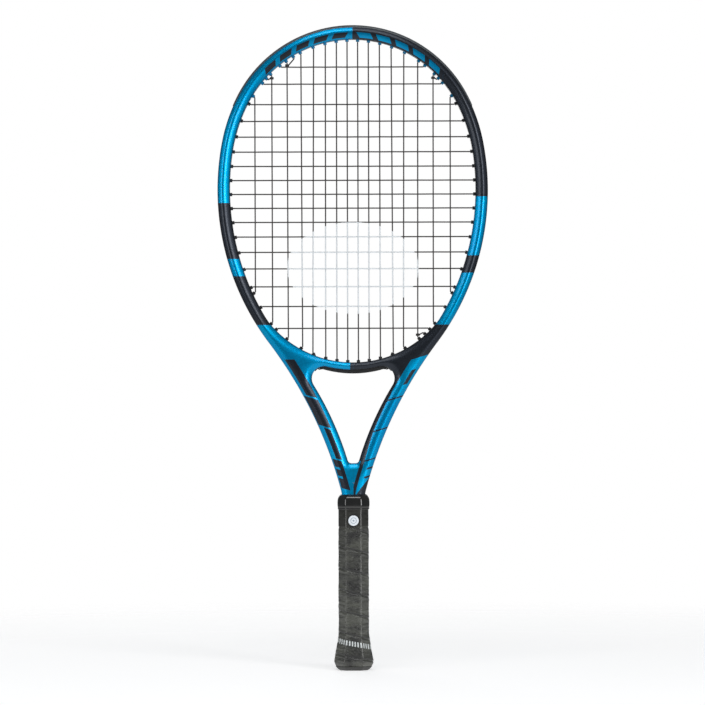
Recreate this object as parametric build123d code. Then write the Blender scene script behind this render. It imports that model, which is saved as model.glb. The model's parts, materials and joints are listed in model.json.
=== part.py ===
from build123d import *
from math import copysign, cos, radians, sin, tan
import os

# A 25 inch junior tennis racket, strung 16 by 17. It stands on its butt: +Z runs up the handle to
# the head, +X across the strings and -Y out of the front face. The origin is the middle of the butt.
# All sizes are in millimetres and all angles in degrees.

# Outlines in the plane of the strings. Each starts on the centre line at the top, heading +X, and is
# a chain of (radius, turn) arcs: a turn is to the right, or to the left where it is negative.
TUBE_TOP = 633.7
TUBE_WIDTH = 12.4
TUBE_OUTLINE = [(127.2, 62.0), (164.2, 17.0), (250.2, 48.0), (418.8, -22.2), (38.0, -14.8)]
OPENING_TOP = TUBE_TOP - TUBE_WIDTH
OPENING_SIDE = [(115.4, 63.0), (157.9, 18.7), (247.0, 38.5)]
OPENING_CORNER = (68.6, 12.2)
LEG_INSIDE = [(247.0, 47.8), (316.6, -24.8)]

# The frame tube, its throat and the wall that is left where it is hollow.
BEAM = 21.0
OUTER_ROUNDING = 5.2
INNER_ROUNDING = 3.3
WALL = 1.5
CAVITY_ROUNDING = 2.6
SEPTUM = 2.4
SHAFT_END = 36.0
GROOVE_DEPTH = 3.0
GROOVE_WIDTH = 7.0
GROOVE_LOW = 288.0
BRIDGE_DEPTH = 7.2
BRIDGE_HALF_SPAN = 30.5
THROAT_CORNER = 12.0
WEB_TOP = 203.5
WEB_CORNER = 3.6
WEDGE_REBATE = 0.8
BRIDGE_REACH = 15.0
BRIDGE_WALL = 3.0

# String pattern: half of the mains and the crosses, counted from the centre main and from the cross
# in the middle of the dense part of the bed, from which the gaps open out.
STRING = 1.3
MAINS_PER_SIDE = 8
MAIN_PITCH = 10.5
MAIN_OPENING_OUT = 0.0445
DENSE_CROSS_Z = 468.7
CROSS_PITCH = 13.8
CROSSES_ABOVE = 8
OPENING_OUT_ABOVE = 0.115
OPENING_OUT_BELOW = 0.16
SECOND_CROSS_RAISE = 2.4
WEAVE = 0.72
MOUTH_WEAVE = 0.3
WEAVE_RADIUS = 8.0
MOUTH_RADIUS = 1.5
EXIT_RADIUS = 1.1
RUN_RADIUS = 3.0
RUN_MIDDLE_RADIUS = 40.0
RUN_PARTS = (0.3, 0.7)
BEND_SHARE = 0.47

# Grommets: a strip on the floor of the groove, with a barrel through the tube at each string.
STRIP_WIDTH = 5.8
STRIP_THICKNESS = 0.85
BARREL = 3.4
BORE = 2.1
HOLE = 3.5
NUB = 2.2
MOUTH = 3.0
AIM = 1.0
BARREL_LEAN = 0.25
LAST_BRIDGE_EXIT = 34.0
STRING_LEVEL = 1.3
STRING_GAP = 0.15
LANE = 1.6
LANE_REACH = 4.0
TOP_STRIP_CROSSES = 2
TOP_STRIP_LOW = 567.5
SIDE_STRIP_HIGH = 566.0
SIDE_STRIP_LOW = 292.0
BRIDGE_STRIP_LOW = 294.5
BRIDGE_STRIP_HALF = 38.0
BRIDGE_RAIL_LOW = 292.0
BRIDGE_RAIL_RADIUS = 106.3
BRIDGE_RAIL_HALF = 34.0
RAIL_THICKNESS = 0.9
BRIDGE_SIDE_MAINS = 4

# Tie-off grommets, at headings of the opening's wall, and the knots beside them.
MAIN_TIE_HEADING = 47.7
FIRST_CROSS_TIE_HEADING = 30.6
LAST_CROSS_TIE_HEADING = 138.0
KNOT_FROM_MOUTH = 2.2
KNOT_LOOP = 1.35
KNOT_PITCH = 1.09
MAIN_ANCHORS = (1, 14)
CROSS_ANCHORS = (2, 13)

# Bumper guard over the head: thickest at the top, it thins out towards its ends.
GUARD_THICKNESS = 1.3
GUARD_SIDE_THICKNESS = 0.2
GUARD_HALF_WIDTH = 8.6
GUARD_CHANNEL = 6.2
GUARD_LOW = 556.0
GUARD_ROUNDING = 3.0
GUARD_TIE = 5.0
GUARD_TIE_DEPTH = 0.4
GUARD_TIES_AFTER_MAINS = (2, 4)

# Handle: an octagon, widest across the string plane, with a wrapped grip over a moulded pallet.
GRIP_WIDTH = 30.0
GRIP_DEPTH = 28.0
GRIP_BEVEL = 30.9
GRIP_THICKNESS = 1.65
GRIP_BOTTOM = 4.0
GRIP_TOP = 161.0
PALLET_TOP = 166.0
PALLET_BOTTOM = 10.0
PALLET_WELL = (15.0, 11.0)
SKIRT_TOP = 34.0
SKIRT_WALL = 0.9
TAPE_LOW = 140.0
TAPE_TOP = 159.5
TAPE_THICKNESS = 0.2
TAPE_SQUEEZE = 0.45
SQUEEZE_LENGTH = 1.5
DISC_Z = 147.5
DISC_DIAMETER = 12.4
DISC_THICKNESS = 0.15

# Rubber collar over the top of the grip.
COLLAR_LOW = 158.4
COLLAR_TOP = 173.2
COLLAR_LOW_OUT = 0.1
COLLAR_BULGE = 0.8
COLLAR_BULGE_Z = 163.5
COLLAR_TOP_IN = 0.5
COLLAR_THROAT = 13.0
COLLAR_GAP = 0.05

# Butt: the flare, the cap's base and the lid that gives access to the hollow handle.
FLARE_TOP = 36.0
FLARE_WIDEST_Z = 9.6
FLARE = 4.5
FLARE_MIDDLE = 1.55
FLARE_MIDDLE_Z = 26.0
BUTT_FACE = -1.6
BUTT_ROUND = 2.9
BUTT_ROUND_Z = 4.2
BASE_THICKNESS = 2.6
LID_WIDTH = 20.0
LID_DEPTH = 15.0
LID_FLANGE = 1.2
LID_LEDGE = 1.5
LID_PLUG = 4.4
LID_PLUG_WALL = 2.5
LID_PLUG_FLOOR = 0.5
LID_GAP = 0.06
LID_RECESS = 0.5
LID_CORNER = 3.5
COIN_SLOT = (9.0, 1.6)
COIN_SLOT_DEPTH = 0.5
STAPLE_WIRE = 0.7
STAPLE_CROWN = 6.0
STAPLE_LEG = 2.4
STAPLE_Z = 31.0
TACK_Z = 20.0
TACK_HEAD = 4.5
TACK_HEAD_THICKNESS = 0.5
TACK_NAIL = 1.2
TACK_LENGTH = 5.0

# Working sizes: how far a cutting body goes past what it cuts, a size that is clear of the whole
# racket's width and depth, and the steps of a search along an outline.
PAST = 1.0
CLEAR = 200.0
SLIVER = 0.01
SAME_PLACE = 1e-4
TINY = 1e-12
SEARCH_STEP = 0.01
FINE_STEP = 0.001
HALVINGS = 40


# ---------------------------------------------------------------- outlines


def right_of(heading):
    """Unit vector square to a heading in the string plane, towards its right."""
    return Vector(-sin(radians(heading)), 0, -cos(radians(heading)))


class Outline:
    """Half of a closed outline, from its top on the centre line down the right side."""

    def __init__(self, top, arcs, inset=0.0):
        self.inset = inset
        self.arcs = []
        at, heading = Vector(0, 0, top), 0.0
        for radius, turn in arcs:
            signed = copysign(radius, turn)
            centre = at + right_of(heading) * signed
            self.arcs.append((centre, signed, heading, turn))
            heading += turn
            at = centre - right_of(heading) * signed
        self.heading = heading

    def locate(self, along):
        """Centre, signed radius and heading at a distance along that is counted in arcs."""
        number = min(int(along), len(self.arcs) - 1)
        centre, signed, heading, turn = self.arcs[number]
        return centre, signed, heading + turn * (along - number)

    def point(self, along, inset=None):
        """Point at a distance along, moved to the right by inset."""
        centre, signed, heading = self.locate(along)
        return centre - right_of(heading) * (signed - (self.inset if inset is None else inset))

    def end(self):
        return self.point(len(self.arcs) - TINY)

    def normal(self, along):
        """Unit vector out of the outline at a distance along it."""
        return right_of(self.locate(along)[2]) * -1

    def edges(self):
        return [
            ThreePointArc(self.point(step), self.point(step + 0.5), self.point(step + 1 - TINY))
            for step in range(len(self.arcs))
        ]

    def face(self, bottom=None):
        """The closed region, carried straight down to bottom where that is given."""
        half = self.edges()
        end = self.end()
        if bottom is not None:
            low = Vector(end.X, 0, bottom)
            half.append(Line(end, low))
            end = low
        whole = half + [mirror(edge, about=Plane.YZ) for edge in half]
        if end.X > SLIVER:
            whole.append(Line(end, Vector(-end.X, 0, end.Z)))
        return make_face(whole)

    def crossing(self, start, way, inset):
        """Distance along at which a line from start meets the outline moved by inset."""
        across = Vector(way.Z, 0, -way.X)

        def side(along):
            return (self.point(along, inset) - start).dot(across)

        low = 0.0
        while side(low) * side(low + SEARCH_STEP) > 0 or (self.point(low, inset) - start).dot(way) < 0:
            low += SEARCH_STEP
        high = low + SEARCH_STEP
        for _ in range(HALVINGS):
            middle = (low + high) / 2
            if side(low) * side(middle) > 0:
                low = middle
            else:
                high = middle
        return low

    def meet(self, start, way, inset):
        return self.point(self.crossing(start, way, inset), inset)


def closed_opening():
    """The string opening: its last arc is centred on the middle line, so the two halves meet."""
    start = Outline(OPENING_TOP, OPENING_SIDE + [OPENING_CORNER])
    radius = start.end().X / sin(radians(start.heading))
    arcs = OPENING_SIDE + [OPENING_CORNER, (radius, 180.0 - start.heading)]
    return Outline(OPENING_TOP, arcs), radius


TUBE = Outline(TUBE_TOP, TUBE_OUTLINE)
OPENING, BRIDGE_RADIUS = closed_opening()
OPENING_BOTTOM = OPENING.end().Z


def rectangle(low_x, high_x, low_z, high_z):
    corners = [(low_x, 0, low_z), (high_x, 0, low_z), (high_x, 0, high_z), (low_x, 0, high_z)]
    return make_face(Polyline(*corners, close=True).edges())


def disc(radius, centre_z):
    """Round region of the string plane, centred on the middle line."""
    return make_face([Edge.make_circle(radius, Plane(origin=(0, 0, centre_z), z_dir=(0, -1, 0)))])


def slab(region, half_depth):
    """A region of the string plane, thickened equally to the front and the back."""
    return extrude(region, amount=half_depth, dir=(0, 1, 0), both=True)


def between_legs(inset=0.0):
    """The region that the hairpin tube encloses, down to where its legs meet."""
    return Outline(OPENING_TOP, OPENING_SIDE[:2] + LEG_INSIDE, inset).face()


def throat_region():
    """The open triangle under the bridge, with its rounded corners."""
    region = between_legs() & rectangle(-CLEAR, CLEAR, WEB_TOP, OPENING_BOTTOM + BRIDGE_REACH)
    region = region - disc(BRIDGE_RADIUS + BRIDGE_DEPTH, OPENING_BOTTOM + BRIDGE_RADIUS)
    corners = region.vertices().sort_by(Axis.Z)
    region = fillet(corners[-2:], THROAT_CORNER)
    return fillet(region.vertices().sort_by(Axis.Z)[:2], WEB_CORNER)


THROAT = throat_region()


# ---------------------------------------------------------------- strings and grommets


def main_x(number):
    """Distance of a main from the centre line; the two nearest it are number 1."""
    step = number - 0.5
    return MAIN_PITCH * step + MAIN_OPENING_OUT * step**3


def cross_heights():
    """Heights of the crosses from the top down."""
    above, below = [DENSE_CROSS_Z], [DENSE_CROSS_Z]
    for step in range(CROSSES_ABOVE):
        above.append(above[-1] + CROSS_PITCH + OPENING_OUT_ABOVE * step**2)
        below.append(below[-1] - CROSS_PITCH - OPENING_OUT_BELOW * step**2)
    above[-2] += SECOND_CROSS_RAISE
    return above[:0:-1] + below


CROSSES = cross_heights()


class Grommet:
    """One string end: its mouth in the opening, its barrel, and its exit outside the tube.

    along is the exit's place on the tube's outline, negative on the left; under the bridge it is None.
    """

    def __init__(self, wall, way, exit_point, seat, along=None):
        self.way, self.exit, self.seat, self.along = way, exit_point, seat, along
        self.mouth = wall - way * MOUTH
        self.tip = wall - way * NUB

    def mirrored(self):
        other = Grommet.__new__(Grommet)
        for name in ("way", "exit", "seat", "mouth", "tip"):
            at = getattr(self, name)
            setattr(other, name, Vector(-at.X, at.Y, at.Z))
        other.along = None if self.along is None else -self.along
        return other

    def cylinder(self, diameter, before=0.0, to=None, beyond=0.0):
        """A round bar along the barrel, from before its tip to beyond its seat or another point."""
        start = self.tip - self.way * before
        length = ((self.seat if to is None else to) - start).length + beyond
        return Solid.make_cylinder(diameter / 2, length, Plane(origin=start, z_dir=self.way))


def side_grommet(start, pull):
    """Grommet of a string that leaves the opening from start in the direction pull."""
    wall_at = OPENING.crossing(start, pull, AIM)
    wall = OPENING.point(wall_at, 0)
    outward = TUBE.normal(TUBE.crossing(wall, OPENING.normal(wall_at), 0))
    way = (outward * (1 - BARREL_LEAN) + pull * BARREL_LEAN).normalized()
    along = TUBE.crossing(wall, way, STRING_LEVEL)
    seat = TUBE.meet(wall, way, GROOVE_DEPTH - STRIP_THICKNESS / 2)
    return Grommet(wall, way, TUBE.point(along, STRING_LEVEL), seat, along)


def underside(x):
    """Height of the bridge's underside above x, rounded corners of the throat included."""
    return (THROAT & rectangle(x - SLIVER, x + SLIVER, WEB_TOP, OPENING_TOP)).bounding_box().max.Z


def bridge_grommet(x):
    """Grommet of a main that passes down through the bridge into the throat."""
    down = Vector(0, 0, -1)
    wall = OPENING.meet(Vector(x, 0, DENSE_CROSS_Z), down, 0)
    exit_x = min(x, LAST_BRIDGE_EXIT)
    floor = underside(exit_x) - STRIP_THICKNESS
    exit_point = Vector(exit_x, 0, floor - STRING_GAP - STRING / 2)
    way = (exit_point - wall).normalized()
    seat = exit_point - way * (STRING_GAP + (STRING + STRIP_THICKNESS) / 2)
    return Grommet(wall, way, exit_point, seat)


def tie_off(heading):
    """Grommet that a string's tail comes back in through, at a heading of the opening's wall."""
    along = 0.0
    while OPENING.locate(along)[2] < heading:
        along += FINE_STEP
    return side_grommet(OPENING.point(along, 2 * MOUTH), OPENING.normal(along))


# ---------------------------------------------------------------- string paths


def route(stations):
    """Straight runs joined by tangent arcs, each up to the radius that its station allows."""
    edges, start = [], stations[0][0]
    for (before, _), (corner, largest), (after, _) in zip(stations, stations[1:], stations[2:]):
        into, out = corner - before, after - corner
        half = radians(into.get_angle(out) / 2)
        radius = min(BEND_SHARE * min(into.length, out.length) / tan(half), largest)
        reach = radius * tan(half)
        first, last = corner - into.normalized() * reach, corner + out.normalized() * reach
        inward = (out.normalized() - into.normalized()).normalized()
        middle = corner + inward * radius * (1 / cos(half) - 1)
        edges += [Edge.make_line(start, first), Edge.make_three_point_arc(first, middle, last)]
        start = last
    edges.append(Edge.make_line(start, stations[-1][0]))
    return Wire(edges)


def string_solid(stations):
    path = route(stations)
    section = Plane(origin=path @ 0, z_dir=path % 0) * Circle(STRING / 2)
    print("string length", round(path.length))
    return sweep(section, path=path)


def at_depth(point, y):
    return Vector(point.X, y, point.Z)


def meeting(one, other):
    """Where two strings cross in plan, each given by its two mouths, or None where they don't."""
    a, b = one[0].mouth, one[1].mouth
    c, d = other[0].mouth, other[1].mouth
    across = Vector(d.Z - c.Z, 0, c.X - d.X)
    part = (c - a).dot(across) / (b - a).dot(across)
    point = a + (b - a) * part
    other_part = (point - c).dot(d - c) / (d - c).dot(d - c)
    inside = 0 < part < 1 and 0 < other_part < 1
    return point if inside else None


def bed_stations(strings, others, number, side):
    """Stations of one string across the bed, over and under the strings that it crosses."""
    ends = strings[number]
    stations = []
    for other_number, other in enumerate(others):
        point = meeting(ends, other)
        if point is not None:
            over = side if (number + other_number) % 2 == 0 else -side
            stations.append((at_depth(point, WEAVE * over), WEAVE_RADIUS))
    first, last = stations[0][0], stations[-1][0]
    start = (at_depth(ends[0].mouth, copysign(MOUTH_WEAVE, first.Y)), MOUTH_RADIUS)
    end = (at_depth(ends[1].mouth, copysign(MOUTH_WEAVE, last.Y)), MOUTH_RADIUS)
    return [start] + stations + [end]


def level_point(along):
    """Point at string level on the tube's outline, mirrored to the left where along is negative."""
    point = TUBE.point(abs(along), STRING_LEVEL)
    return Vector(copysign(point.X, along), 0, point.Z)


def groove_run(start, end, lane):
    """Stations between two exits on the tube, along the floor of the groove."""
    along = LANE_REACH / (end.exit - start.exit).length
    parts = (min(RUN_PARTS[0], along), 0.5, max(RUN_PARTS[1], 1 - along))
    radii = (RUN_RADIUS, RUN_MIDDLE_RADIUS, RUN_RADIUS)
    return [
        (at_depth(level_point(start.along + (end.along - start.along) * part), lane), radius)
        for part, radius in zip(parts, radii)
    ]


def bridge_run(start, end, lane):
    """Stations between two exits under the bridge, no higher than string level."""
    radius = BRIDGE_RADIUS + BRIDGE_DEPTH + STRIP_THICKNESS + STRING_GAP + STRING / 2
    stations = []
    for part in RUN_PARTS:
        flat = start.exit + (end.exit - start.exit) * part
        level = OPENING_BOTTOM + BRIDGE_RADIUS - (radius**2 - flat.X**2) ** 0.5
        stations.append((Vector(flat.X, lane, min(flat.Z, level)), RUN_RADIUS))
    return stations


def outer_run(start, end, lane):
    """Stations from one grommet's exit to the next, outside the tube or under the bridge."""
    run = bridge_run if start.along is None else groove_run
    return [(start.exit, EXIT_RADIUS)] + run(start, end, lane) + [(end.exit, EXIT_RADIUS)]


def laced(strings, others, side, lane, first_tail, last_tail):
    """All the stations of one string: its first tail, to and fro across the bed, its last tail."""
    knot, hole = first_tail
    stations = [(knot, 0), (hole.mouth, MOUTH_RADIUS)] + outer_run(hole, strings[0][0], lane)
    for number, (first, last) in enumerate(strings):
        bed = bed_stations(strings, others, number, side)
        if number % 2:
            bed.reverse()
            last = first
        stations += bed
        if number + 1 < len(strings):
            stations += outer_run(last, strings[number + 1][1 - number % 2], lane)
    knot, hole = last_tail
    return stations + outer_run(last, hole, lane) + [(hole.mouth, MOUTH_RADIUS), (knot, 0)]


def knot_place(mouth, inside, hole):
    """A knot on an anchor string near its mouth: its centre, its axis and where the tail enters."""
    axis = (inside - mouth).normalized()
    centre = mouth + axis * KNOT_FROM_MOUTH
    to_hole = hole.mouth - centre
    square = (to_hole - axis * to_hole.dot(axis)).normalized()
    return centre, axis, centre + square * KNOT_LOOP


UP, DOWN, RIGHT = Vector(0, 0, 1), Vector(0, 0, -1), Vector(1, 0, 0)


def both_sides(right_strings):
    return [tuple(end.mirrored() for end in ends) for ends in reversed(right_strings)] + right_strings


def main_ends(number):
    start = Vector(main_x(number), 0, DENSE_CROSS_Z)
    if number <= BRIDGE_SIDE_MAINS:
        return side_grommet(start, UP), bridge_grommet(start.X)
    return side_grommet(start, UP), side_grommet(start, DOWN)


OUTER_MAINS = MAINS_PER_SIDE - BRIDGE_SIDE_MAINS
MAINS = both_sides([main_ends(number) for number in range(1, MAINS_PER_SIDE + 1)])
CROSS_ENDS = [side_grommet(Vector(0, 0, height), RIGHT) for height in CROSSES]
CROSS_STRINGS = [(end.mirrored(), end) for end in CROSS_ENDS]
MAIN_TIE = tie_off(MAIN_TIE_HEADING)
FIRST_CROSS_TIE = tie_off(FIRST_CROSS_TIE_HEADING).mirrored()
LAST_CROSS_TIE = tie_off(LAST_CROSS_TIE_HEADING)
TIES = [MAIN_TIE, MAIN_TIE.mirrored(), FIRST_CROSS_TIE, LAST_CROSS_TIE]


def anchor(number, end, hole):
    """Knot on main number, counted from the left, near its top (0) or bottom (1) mouth."""
    bed = bed_stations(MAINS, CROSS_STRINGS, number, 1)
    mouth, inside = (bed[0], bed[1]) if end == 0 else (bed[-1], bed[-2])
    return knot_place(mouth[0], inside[0], hole)


KNOTS = [
    anchor(MAIN_ANCHORS[0], 0, MAIN_TIE.mirrored()),
    anchor(MAIN_ANCHORS[1], 0, MAIN_TIE),
    anchor(CROSS_ANCHORS[0], 0, FIRST_CROSS_TIE),
    anchor(CROSS_ANCHORS[1], 1, LAST_CROSS_TIE),
]


def main_string():
    first, last = (KNOTS[0][2], MAIN_TIE.mirrored()), (KNOTS[1][2], MAIN_TIE)
    return string_solid(laced(MAINS, CROSS_STRINGS, 1, -LANE, first, last))


def cross_string():
    first, last = (KNOTS[2][2], FIRST_CROSS_TIE), (KNOTS[3][2], LAST_CROSS_TIE)
    return string_solid(laced(CROSS_STRINGS, MAINS, -1, LANE, first, last))


def string_knots(strings):
    """Two turns of string round the anchor at each of the four tie-offs, cut to fit the strings."""
    knots = []
    for centre, axis, _ in KNOTS:
        turns = [
            Solid.make_torus(KNOT_LOOP, STRING / 2, Plane(origin=centre + axis * shift, z_dir=axis))
            for shift in (-KNOT_PITCH / 2, KNOT_PITCH / 2)
        ]
        knots.append((turns[0] + turns[1] - strings).solids().sort_by(SortBy.VOLUME)[-1])
    return Compound(knots)


# ---------------------------------------------------------------- frame


def band(outer_inset, inner_inset, low_z, high_z=TUBE_TOP + CLEAR, side=0):
    """Strip of the string plane between two insets of the tube's outline, on one side or on both."""
    outside = Outline(TUBE_TOP, TUBE_OUTLINE, outer_inset).face(SHAFT_END)
    inside = Outline(TUBE_TOP, TUBE_OUTLINE, inner_inset).face(SHAFT_END)
    low_x, high_x = (-CLEAR if side <= 0 else 0), (CLEAR if side >= 0 else 0)
    return (outside - inside) & rectangle(low_x, high_x, low_z, high_z)


def filled_frame():
    """Tube, bridge and throat web as one solid with rounded edges, before they are parted."""
    region = TUBE.face(SHAFT_END) - OPENING.face() - THROAT
    body = slab(region, BEAM / 2)
    faces = [face for face in body.faces() if abs(abs(face.normal_at().Y) - 1) < 1e-6]
    outer = [edge for face in faces for edge in face.outer_wire().edges()]
    inner = [edge for face in faces for wire in face.inner_wires() for edge in wire.edges()]
    body = fillet([edge for edge in outer if edge.center().Z > SHAFT_END + PAST], OUTER_ROUNDING)
    places = [edge.center() for edge in inner]
    matching = [
        edge
        for edge in body.edges()
        if any((edge.center() - place).length < SAME_PLACE for place in places)
    ]
    return fillet(matching, INNER_ROUNDING)


def frame_cavity():
    """Hollow of the hairpin tube, with the septum between its legs and the wall under the groove."""
    outside = Outline(TUBE_TOP, TUBE_OUTLINE, WALL).face(SHAFT_END - PAST)
    region = outside - between_legs(-WALL) - rectangle(-SEPTUM / 2, SEPTUM / 2, 0, WEB_TOP)
    half = BEAM / 2 - WALL
    hollow = slab(region, half)
    long_edges = [edge for edge in hollow.edges() if abs(abs(edge.center().Y) - half) < SAME_PLACE]
    hollow = fillet(long_edges, CAVITY_ROUNDING)
    return hollow - slab(band(0, GROOVE_DEPTH + WALL, GROOVE_LOW - WALL), GROOVE_WIDTH / 2 + WALL)


def bridge_cavity():
    centre = OPENING_BOTTOM + BRIDGE_RADIUS
    arch = disc(BRIDGE_RADIUS + BRIDGE_DEPTH - WALL, centre) - disc(BRIDGE_RADIUS + WALL, centre)
    return slab(arch & bridge_zone(BRIDGE_HALF_SPAN - WALL), BEAM / 2 - BRIDGE_WALL)


def bridge_zone(half_span):
    """Rectangle of the string plane round the bridge."""
    return rectangle(-half_span, half_span, OPENING_BOTTOM - BRIDGE_REACH, OPENING_BOTTOM + BRIDGE_REACH)


def frame_pieces():
    whole = filled_frame()
    zone = slab(bridge_zone(BRIDGE_HALF_SPAN), BEAM)
    web = between_legs(-WEDGE_REBATE) & rectangle(-CLEAR, CLEAR, 0, WEB_TOP + WEB_CORNER)
    wedge = whole & slab(web, BEAM)
    bridge = whole & zone
    holes = [
        end.cylinder(HOLE, before=PAST, to=end.exit)
        for end in [end for ends in MAINS + CROSS_STRINGS for end in ends] + TIES
    ]
    groove = slab(band(-PAST, GROOVE_DEPTH, GROOVE_LOW), GROOVE_WIDTH / 2)
    tube = whole - zone - slab(web, BEAM) - frame_cavity() - groove - holes
    return whole, tube, bridge - bridge_cavity() - holes, wedge


def grommet_strip(region, ends, half_width=STRIP_WIDTH / 2):
    """A strip in the groove with a barrel and a bore at each of its string ends."""
    body = slab(region, half_width)
    body = body + [end.cylinder(BARREL) for end in ends]
    return body - [end.cylinder(BORE, before=PAST, to=end.exit, beyond=PAST) for end in ends]


def side_strip(side):
    region = band(GROOVE_DEPTH - STRIP_THICKNESS, GROOVE_DEPTH, SIDE_STRIP_LOW, SIDE_STRIP_HIGH, side)
    ends = [strings[max(side, 0)] for strings in CROSS_STRINGS[TOP_STRIP_CROSSES:]]
    ends += [strings[1] for strings in (MAINS[:OUTER_MAINS] if side < 0 else MAINS[-OUTER_MAINS:])]
    if side > 0:
        ends.append(LAST_CROSS_TIE)
    return grommet_strip(region, ends)


def top_strip():
    region = band(GROOVE_DEPTH - STRIP_THICKNESS, GROOVE_DEPTH, TOP_STRIP_LOW)
    ends = [strings[0] for strings in MAINS]
    ends += [end for strings in CROSS_STRINGS[:TOP_STRIP_CROSSES] for end in strings]
    return grommet_strip(region, ends + TIES[:3])


def bridge_strip():
    """Strip under the bridge, with two arched rails that keep the strings between them."""
    high = OPENING_BOTTOM + BRIDGE_REACH
    lining = THROAT - offset(THROAT, -STRIP_THICKNESS)
    lining = lining & rectangle(-BRIDGE_STRIP_HALF, BRIDGE_STRIP_HALF, BRIDGE_STRIP_LOW, high)
    ends = [strings[1] for strings in MAINS[OUTER_MAINS:-OUTER_MAINS]]
    rails = THROAT & disc(BRIDGE_RAIL_RADIUS, BRIDGE_RAIL_LOW + BRIDGE_RAIL_RADIUS)
    rails = rails & rectangle(-BRIDGE_RAIL_HALF, BRIDGE_RAIL_HALF, BRIDGE_RAIL_LOW - PAST, high)
    rails = slab(rails, GROOVE_WIDTH / 2) - slab(rails, GROOVE_WIDTH / 2 - RAIL_THICKNESS)
    return grommet_strip(lining, ends, GROOVE_WIDTH / 2) + rails


def bumper_guard(whole):
    """Cover over the head: two rails on the tube's outer edges, tied across the string channel."""
    raised = TUBE_TOP + GUARD_THICKNESS - GUARD_SIDE_THICKNESS
    outline = Outline(raised, TUBE_OUTLINE, -GUARD_SIDE_THICKNESS)
    cover = slab(outline.face(SHAFT_END), GUARD_HALF_WIDTH)
    rims = [
        edge
        for edge in cover.edges()
        if abs(abs(edge.center().Y) - GUARD_HALF_WIDTH) < SAME_PLACE
        and edge.center().Z > SHAFT_END + PAST
    ]
    cover = fillet(rims, GUARD_ROUNDING) & Pos(0, 0, GUARD_LOW + CLEAR / 2) * Box(2 * CLEAR, CLEAR, CLEAR)
    inside = slab(Outline(TUBE_TOP, TUBE_OUTLINE, OUTER_ROUNDING).face(SHAFT_END - PAST), BEAM)
    channel = slab(band(-2 * GUARD_THICKNESS, 2 * OUTER_ROUNDING, GUARD_LOW - PAST), GUARD_CHANNEL / 2)
    gaps = [(main_x(number) + main_x(number + 1)) / 2 for number in GUARD_TIES_AFTER_MAINS]
    tie_band = band(-GUARD_THICKNESS, GUARD_TIE_DEPTH, GUARD_LOW)
    ties = []
    for x in [0] + gaps + [-gap for gap in gaps]:
        span = rectangle(x - GUARD_TIE / 2, x + GUARD_TIE / 2, GUARD_LOW, TUBE_TOP + CLEAR)
        ties.append(slab(tie_band & span, GUARD_CHANNEL / 2) & cover)
    return cover - inside - whole - channel + ties


# ---------------------------------------------------------------- handle


def octagon(shape):
    """Solid inside four pairs of opposite faces; shape(half) gives each pair's outline in height."""
    body = None
    for angle, across in ((0, GRIP_WIDTH), (90, GRIP_DEPTH), (45, GRIP_BEVEL), (135, GRIP_BEVEL)):
        half = shape(across / 2)
        ends = [half[0] @ 0, half[-1] @ 1]
        whole = half + [mirror(edge, about=Plane.YZ) for edge in half]
        whole += [Line(end, Vector(-end.X, 0, end.Z)) for end in ends]
        pair = Rot(0, 0, angle) * slab(make_face(whole), CLEAR)
        body = pair if body is None else body & pair
    return body


def prism(inset, low, high):
    return octagon(lambda half: [Line((half - inset, 0, low), (half - inset, 0, high))])


def butt_outline(half):
    """Outline of the grip from the butt's face up, over the flare, to the straight handle."""
    face = (half + BUTT_FACE, 0, 0)
    widest = (half + FLARE, 0, FLARE_WIDEST_Z)
    return [
        ThreePointArc(face, (half + BUTT_ROUND, 0, BUTT_ROUND_Z), widest),
        ThreePointArc(widest, (half + FLARE_MIDDLE, 0, FLARE_MIDDLE_Z), (half, 0, FLARE_TOP)),
    ]


def handle_outline(inset, squeeze=0.0):
    """Outline of the whole handle, inset, and squeezed thinner under the finishing tape."""

    def shape(half):
        half = half - inset
        straight = [(half, 0, FLARE_TOP), (half, 0, TAPE_LOW - SQUEEZE_LENGTH)]
        taped = [(half - squeeze, 0, TAPE_LOW), (half - squeeze, 0, GRIP_TOP)]
        return butt_outline(half) + Polyline(*straight, *taped).edges()

    return octagon(shape)


def below(height):
    return Pos(0, 0, height - CLEAR / 2) * Box(CLEAR, CLEAR, CLEAR)


def handle_pieces(whole):
    grip_body = handle_outline(0, TAPE_SQUEEZE)
    inner_body = handle_outline(GRIP_THICKNESS)
    cap_inset = GRIP_THICKNESS + SKIRT_WALL
    socket = prism(cap_inset, BASE_THICKNESS, SKIRT_TOP + PAST)
    cap = (inner_body & below(SKIRT_TOP)) + (grip_body & below(GRIP_BOTTOM)) - socket - lid_space()
    pallet = prism(GRIP_THICKNESS, SKIRT_TOP, PALLET_TOP) + prism(cap_inset, PALLET_BOTTOM, SKIRT_TOP)
    well_middle, well_length = (PALLET_BOTTOM + SHAFT_END) / 2, SHAFT_END - PALLET_BOTTOM + 2 * PAST
    well = Pos(0, 0, well_middle) * Box(*PALLET_WELL, well_length)
    pallet = pallet - whole - well
    grip = grip_body - inner_body - below(GRIP_BOTTOM)
    staples, slots = butt_staples()
    tack = grip_tack()
    return cap - slots - tack, pallet - staples - tack, grip - tack, Compound(staples), tack


def lid_space():
    """Recess and opening in the cap's base that the lid sits in."""
    recess = rounded_box(LID_WIDTH, LID_DEPTH, -PAST, LID_RECESS + LID_FLANGE)
    width, depth = LID_WIDTH - 2 * LID_LEDGE, LID_DEPTH - 2 * LID_LEDGE
    return recess + rounded_box(width, depth, -PAST, BASE_THICKNESS + PAST)


def rounded_box(width, depth, low, high):
    body = Pos(0, 0, (low + high) / 2) * Box(width, depth, high - low)
    return fillet(body.edges().filter_by(Axis.Z), LID_CORNER)


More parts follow.
